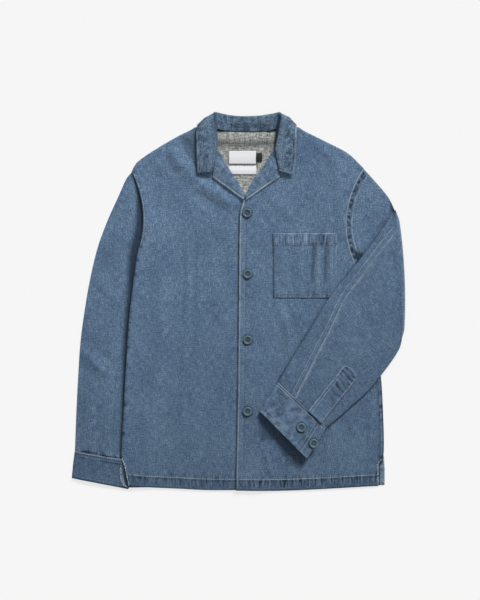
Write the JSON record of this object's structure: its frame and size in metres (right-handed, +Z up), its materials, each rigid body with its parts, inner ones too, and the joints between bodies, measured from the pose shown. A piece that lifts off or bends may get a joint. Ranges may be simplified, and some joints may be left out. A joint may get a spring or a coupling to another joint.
{
  "type": "denim shirt",
  "caption": "Camp-collar denim shirt with a chest patch pocket, laid flat on its back with one long sleeve folded across the front.",
  "frame": {"origin": "middle of the foot of the box of the shirt laid flat, on the surface it lies on", "axes": "+Z up from the surface, out of the shirt's front; +Y from the hem to the collar; +X towards the wearer's left"},
  "size_m": [0.6672, 0.7572, 0.0212],
  "materials": {
    "denim": "washed mid-blue cotton twill, matt, paler along edges and seams",
    "denim_reverse": "pale grey weft side of the same denim, matt and slubby",
    "button": "dark blue-green, satin, with a raised rim",
    "label_white": "woven white tape, left bare",
    "label_black": "woven black tape, left bare"
  },
  "bodies": {
    "root": {"back_panel": "denim_reverse", "front_right": "denim", "front_left": "denim", "facing_right": "denim", "facing_left": "denim", "collar": "denim", "sleeve_right": "denim", "sleeve_left": "denim", "sleeve_placket": "denim", "cuff_right": "denim", "cuff_left": "denim", "chest_pocket": "denim", "button_front_1": "button", "button_front_2": "button", "button_front_3": "button", "button_front_4": "button", "button_cuff_1": "button", "button_cuff_2": "button", "label_main": "label_white", "label_size": "label_black", "label_care": "label_white"}
  },
  "joints": []
}
